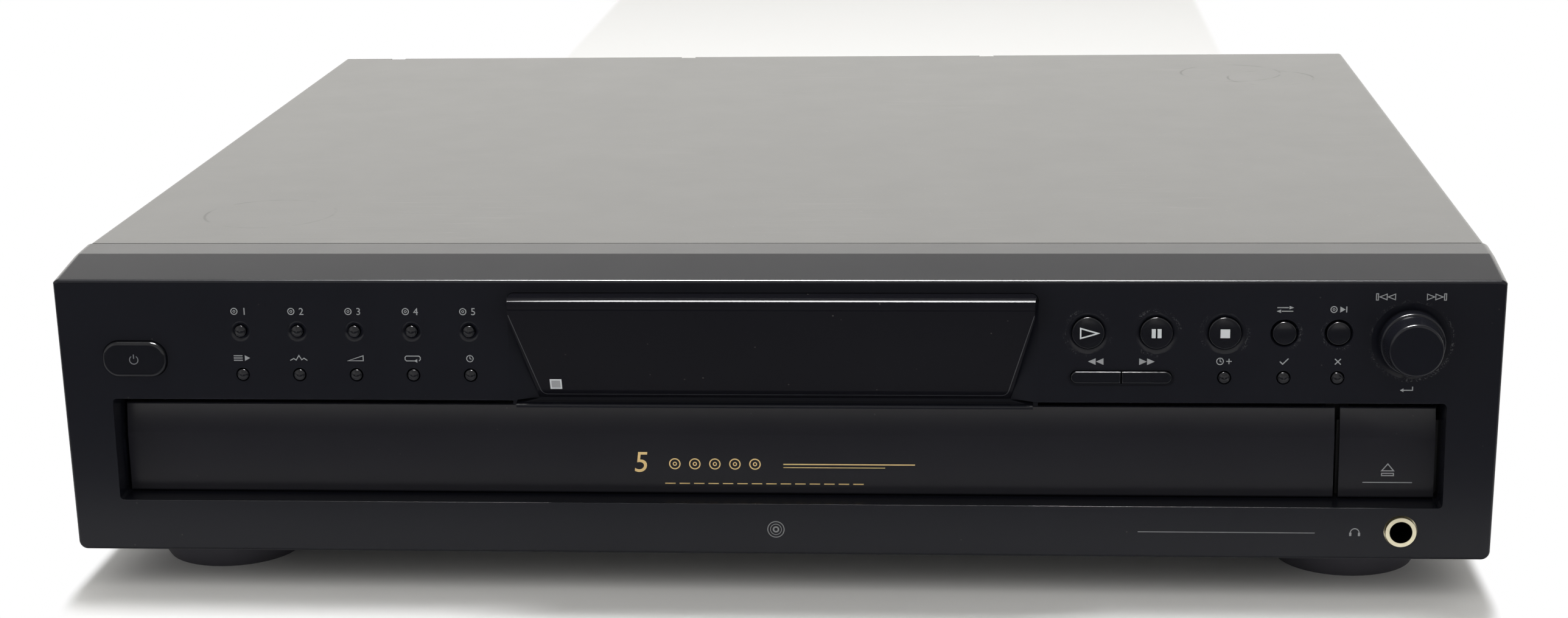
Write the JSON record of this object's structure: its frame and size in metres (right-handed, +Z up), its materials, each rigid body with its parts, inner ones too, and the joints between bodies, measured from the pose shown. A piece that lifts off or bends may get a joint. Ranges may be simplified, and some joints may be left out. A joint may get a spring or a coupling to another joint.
{
  "type": "multi disc cd changer",
  "caption": "Full-width disc changer with a sliding tray that carries a rotating carousel, a display window, push buttons, a jog knob and a headphone socket.",
  "frame": {"origin": "centre of the whole object's footprint, at the undersides of its feet", "axes": "+X to the right of someone facing the front, +Y to the back, +Z up"},
  "size_m": [0.43, 0.406, 0.1012],
  "materials": {
    "panel_black": "satin moulded black with a fine texture",
    "door_black": "smooth satin black",
    "button_black": "satin black moulded caps",
    "knob_black": "semi-gloss black",
    "window_smoked": "glossy smoked pane, nearly black",
    "tube_glass": "dark display glass",
    "cover_paint": "satin black paint on steel, fine grain",
    "zinc_sheet": "bare galvanised sheet",
    "rear_sheet": "satin black paint",
    "screw_steel": "blackened steel screws",
    "foot_rubber": "matt black feet",
    "board_green": "green board with soldered parts",
    "switch_plastic": "small black switch bodies",
    "mechanism_plastic": "satin black mouldings",
    "tray_plastic": "matt black mouldings",
    "gear_plastic": "natural white acetal",
    "bright_metal": "bright plated metal",
    "motor_steel": "plated motor cans",
    "belt_rubber": "matt black rubber",
    "drive_steel": "zinc-plated sheet",
    "pickup_black": "black moulded carriage",
    "lens_glass": "clear coated lens",
    "core_steel": "varnished laminations",
    "socket_plastic": "black moulded sockets"
  },
  "bodies": {
    "case": {"chassis_base": "zinc_sheet", "rear_panel": "rear_sheet", "top_cover": "cover_paint", "case_screws": "screw_steel", "feet": "foot_rubber", "front_panel": "panel_black", "display_window": "window_smoked", "display_tube": "tube_glass", "control_board": "board_green", "switches": "switch_plastic", "button_bracket": "mechanism_plastic", "phones_jack": "bright_metal", "tray_guides": "mechanism_plastic", "loading_motor": "motor_steel", "drive_belt": "belt_rubber", "clamp_bridge": "zinc_sheet", "transformer": "core_steel", "main_board": "board_green", "rear_sockets": "socket_plastic", "cord_gland": "socket_plastic"},
    "tray": {"tray": "tray_plastic", "hub_cap": "tray_plastic", "tray_door": "door_black", "table_motor": "motor_steel"},
    "carousel": {"carousel": "tray_plastic"},
    "table_pinion": {"table_pinion": "gear_plastic"},
    "loading_gear": {"loading_gear": "gear_plastic"},
    "pulley_gear": {"pulley_gear": "gear_plastic"},
    "motor_pulley": {"motor_pulley": "bright_metal"},
    "disc_drive": {"base_unit_chassis": "drive_steel", "spindle_motor": "motor_steel"},
    "platter": {"disc_platter": "bright_metal"},
    "pickup": {"pickup_sled": "pickup_black", "objective_lens": "lens_glass"},
    "lift_slider": {"lift_slider": "gear_plastic"},
    "clamp": {"clamp_disc": "mechanism_plastic"},
    "jog_shaft": {"encoder_shaft": "bright_metal"},
    "jog_knob": {"jog_knob": "knob_black"},
    "disc_button_1": {"disc_button_1": "button_black"},
    "disc_button_2": {"disc_button_2": "button_black"},
    "disc_button_3": {"disc_button_3": "button_black"},
    "disc_button_4": {"disc_button_4": "button_black"},
    "disc_button_5": {"disc_button_5": "button_black"},
    "mode_button_1": {"mode_button_1": "button_black"},
    "mode_button_2": {"mode_button_2": "button_black"},
    "mode_button_3": {"mode_button_3": "button_black"},
    "mode_button_4": {"mode_button_4": "button_black"},
    "mode_button_5": {"mode_button_5": "button_black"},
    "play_button": {"play_button": "button_black"},
    "pause_button": {"pause_button": "button_black"},
    "stop_button": {"stop_button": "button_black"},
    "disc_swap_button": {"disc_swap_button": "button_black"},
    "disc_skip_button": {"disc_skip_button": "button_black"},
    "edit_button": {"edit_button": "button_black"},
    "check_button": {"check_button": "button_black"},
    "clear_button": {"clear_button": "button_black"},
    "rewind_key": {"rewind_key": "button_black"},
    "forward_key": {"forward_key": "button_black"},
    "power_button": {"power_button": "button_black"},
    "open_close_button": {"open_close_button": "door_black"}
  },
  "joints": [
    {"name": "disc_button_1_press", "type": "slide", "parent": "case", "child": "disc_button_1", "axis": [0, 1, 0], "range_m": [0, 0.001], "stiffness_N_per_m": 400, "springref_m": -0.001},
    {"name": "disc_button_2_press", "type": "slide", "parent": "case", "child": "disc_button_2", "axis": [0, 1, 0], "range_m": [0, 0.001], "stiffness_N_per_m": 400, "springref_m": -0.001},
    {"name": "disc_button_3_press", "type": "slide", "parent": "case", "child": "disc_button_3", "axis": [0, 1, 0], "range_m": [0, 0.001], "stiffness_N_per_m": 400, "springref_m": -0.001},
    {"name": "disc_button_4_press", "type": "slide", "parent": "case", "child": "disc_button_4", "axis": [0, 1, 0], "range_m": [0, 0.001], "stiffness_N_per_m": 400, "springref_m": -0.001},
    {"name": "disc_button_5_press", "type": "slide", "parent": "case", "child": "disc_button_5", "axis": [0, 1, 0], "range_m": [0, 0.001], "stiffness_N_per_m": 400, "springref_m": -0.001},
    {"name": "mode_button_1_press", "type": "slide", "parent": "case", "child": "mode_button_1", "axis": [0, 1, 0], "range_m": [0, 0.001], "stiffness_N_per_m": 400, "springref_m": -0.001},
    {"name": "mode_button_2_press", "type": "slide", "parent": "case", "child": "mode_button_2", "axis": [0, 1, 0], "range_m": [0, 0.001], "stiffness_N_per_m": 400, "springref_m": -0.001},
    {"name": "mode_button_3_press", "type": "slide", "parent": "case", "child": "mode_button_3", "axis": [0, 1, 0], "range_m": [0, 0.001], "stiffness_N_per_m": 400, "springref_m": -0.001},
    {"name": "mode_button_4_press", "type": "slide", "parent": "case", "child": "mode_button_4", "axis": [0, 1, 0], "range_m": [0, 0.001], "stiffness_N_per_m": 400, "springref_m": -0.001},
    {"name": "mode_button_5_press", "type": "slide", "parent": "case", "child": "mode_button_5", "axis": [0, 1, 0], "range_m": [0, 0.001], "stiffness_N_per_m": 400, "springref_m": -0.001},
    {"name": "play_button_press", "type": "slide", "parent": "case", "child": "play_button", "axis": [0, 1, 0], "range_m": [0, 0.001], "stiffness_N_per_m": 400, "springref_m": -0.001},
    {"name": "pause_button_press", "type": "slide", "parent": "case", "child": "pause_button", "axis": [0, 1, 0], "range_m": [0, 0.001], "stiffness_N_per_m": 400, "springref_m": -0.001},
    {"name": "stop_button_press", "type": "slide", "parent": "case", "child": "stop_button", "axis": [0, 1, 0], "range_m": [0, 0.001], "stiffness_N_per_m": 400, "springref_m": -0.001},
    {"name": "disc_swap_button_press", "type": "slide", "parent": "case", "child": "disc_swap_button", "axis": [0, 1, 0], "range_m": [0, 0.001], "stiffness_N_per_m": 400, "springref_m": -0.001},
    {"name": "disc_skip_button_press", "type": "slide", "parent": "case", "child": "disc_skip_button", "axis": [0, 1, 0], "range_m": [0, 0.001], "stiffness_N_per_m": 400, "springref_m": -0.001},
    {"name": "edit_button_press", "type": "slide", "parent": "case", "child": "edit_button", "axis": [0, 1, 0], "range_m": [0, 0.001], "stiffness_N_per_m": 400, "springref_m": -0.001},
    {"name": "check_button_press", "type": "slide", "parent": "case", "child": "check_button", "axis": [0, 1, 0], "range_m": [0, 0.001], "stiffness_N_per_m": 400, "springref_m": -0.001},
    {"name": "clear_button_press", "type": "slide", "parent": "case", "child": "clear_button", "axis": [0, 1, 0], "range_m": [0, 0.001], "stiffness_N_per_m": 400, "springref_m": -0.001},
    {"name": "rewind_key_press", "type": "slide", "parent": "case", "child": "rewind_key", "axis": [0, 1, 0], "range_m": [0, 0.001], "stiffness_N_per_m": 400, "springref_m": -0.001},
    {"name": "forward_key_press", "type": "slide", "parent": "case", "child": "forward_key", "axis": [0, 1, 0], "range_m": [0, 0.001], "stiffness_N_per_m": 400, "springref_m": -0.001},
    {"name": "power_button_press", "type": "slide", "parent": "case", "child": "power_button", "axis": [0, 1, 0], "range_m": [0, 0.003], "stiffness_N_per_m": 300, "springref_m": -0.001},
    {"name": "open_close_button_press", "type": "slide", "parent": "case", "child": "open_close_button", "axis": [0, 1, 0], "range_m": [0, 0.0015], "stiffness_N_per_m": 300, "springref_m": -0.001},
    {"name": "jog_push", "type": "slide", "parent": "case", "child": "jog_shaft", "axis": [0, 1, 0], "range_m": [0, 0.0006], "stiffness_N_per_m": 600, "springref_m": -0.0012},
    {"name": "jog_turn", "type": "hinge", "parent": "jog_shaft", "child": "jog_knob", "pos_m": [0.188, -0.1915, 0.0793], "axis": [0, 1, 0], "continuous": true},
    {"name": "tray_slide", "type": "slide", "parent": "case", "child": "tray", "axis": [0, -1, 0], "range_m": [0, 0.235]},
    {"name": "carousel_spin", "type": "hinge", "parent": "tray", "child": "carousel", "pos_m": [-0.015, -0.0065, 0.049], "axis": [0, 0, 1], "continuous": true},
    {"name": "table_pinion_spin", "type": "hinge", "parent": "tray", "child": "table_pinion", "pos_m": [0.009, -0.04807, 0.043], "axis": [0, 0, 1], "continuous": true},
    {"name": "loading_gear_spin", "type": "hinge", "parent": "case", "child": "loading_gear", "pos_m": [-0.161, -0.1465, 0.028], "axis": [0, 0, -1], "range_deg": [0, 1496.16]},
    {"name": "pulley_gear_spin", "type": "hinge", "parent": "case", "child": "pulley_gear", "pos_m": [-0.1485, -0.12485, 0.026], "axis": [0, 0, 1], "range_deg": [0, 3847.1]},
    {"name": "motor_pulley_spin", "type": "hinge", "parent": "case", "child": "motor_pulley", "pos_m": [-0.0985, -0.12485, 0.029], "axis": [0, 0, 1], "range_deg": [0, 14386.83]},
    {"name": "unit_lift", "type": "hinge", "parent": "case", "child": "disc_drive", "pos_m": [-0.015, 0.1845, 0.037], "axis": [-1, 0, 0], "range_deg": [0, 9.5]},
    {"name": "lift_slide", "type": "slide", "parent": "case", "child": "lift_slider", "axis": [1, 0, 0], "range_m": [0, 0.03601]},
    {"name": "platter_spin", "type": "hinge", "parent": "disc_drive", "child": "platter", "pos_m": [-0.015, 0.09589, 0.03941], "axis": [0, -0.165, 0.9863], "continuous": true},
    {"name": "sled_slide", "type": "slide", "parent": "disc_drive", "child": "pickup", "axis": [0, 0.9863, 0.165], "range_m": [-0.006, 0.028]},
    {"name": "clamp_spin", "type": "hinge", "parent": "case", "child": "clamp", "pos_m": [-0.015, 0.0975, 0.062], "axis": [0, 0, 1], "continuous": true}
  ],
  "couplings": [
    {"joint": "table_pinion_spin", "follows": "carousel_spin", "ratio": -5},
    {"joint": "loading_gear_spin", "follows": "tray_slide", "rad_per_m": 111.11},
    {"joint": "pulley_gear_spin", "follows": "tray_slide", "rad_per_m": 285.71},
    {"joint": "motor_pulley_spin", "follows": "tray_slide", "rad_per_m": 1068.5},
    {"joint": "lift_slide", "follows": "unit_lift", "m_per_rad": 0.21712}
  ]
}
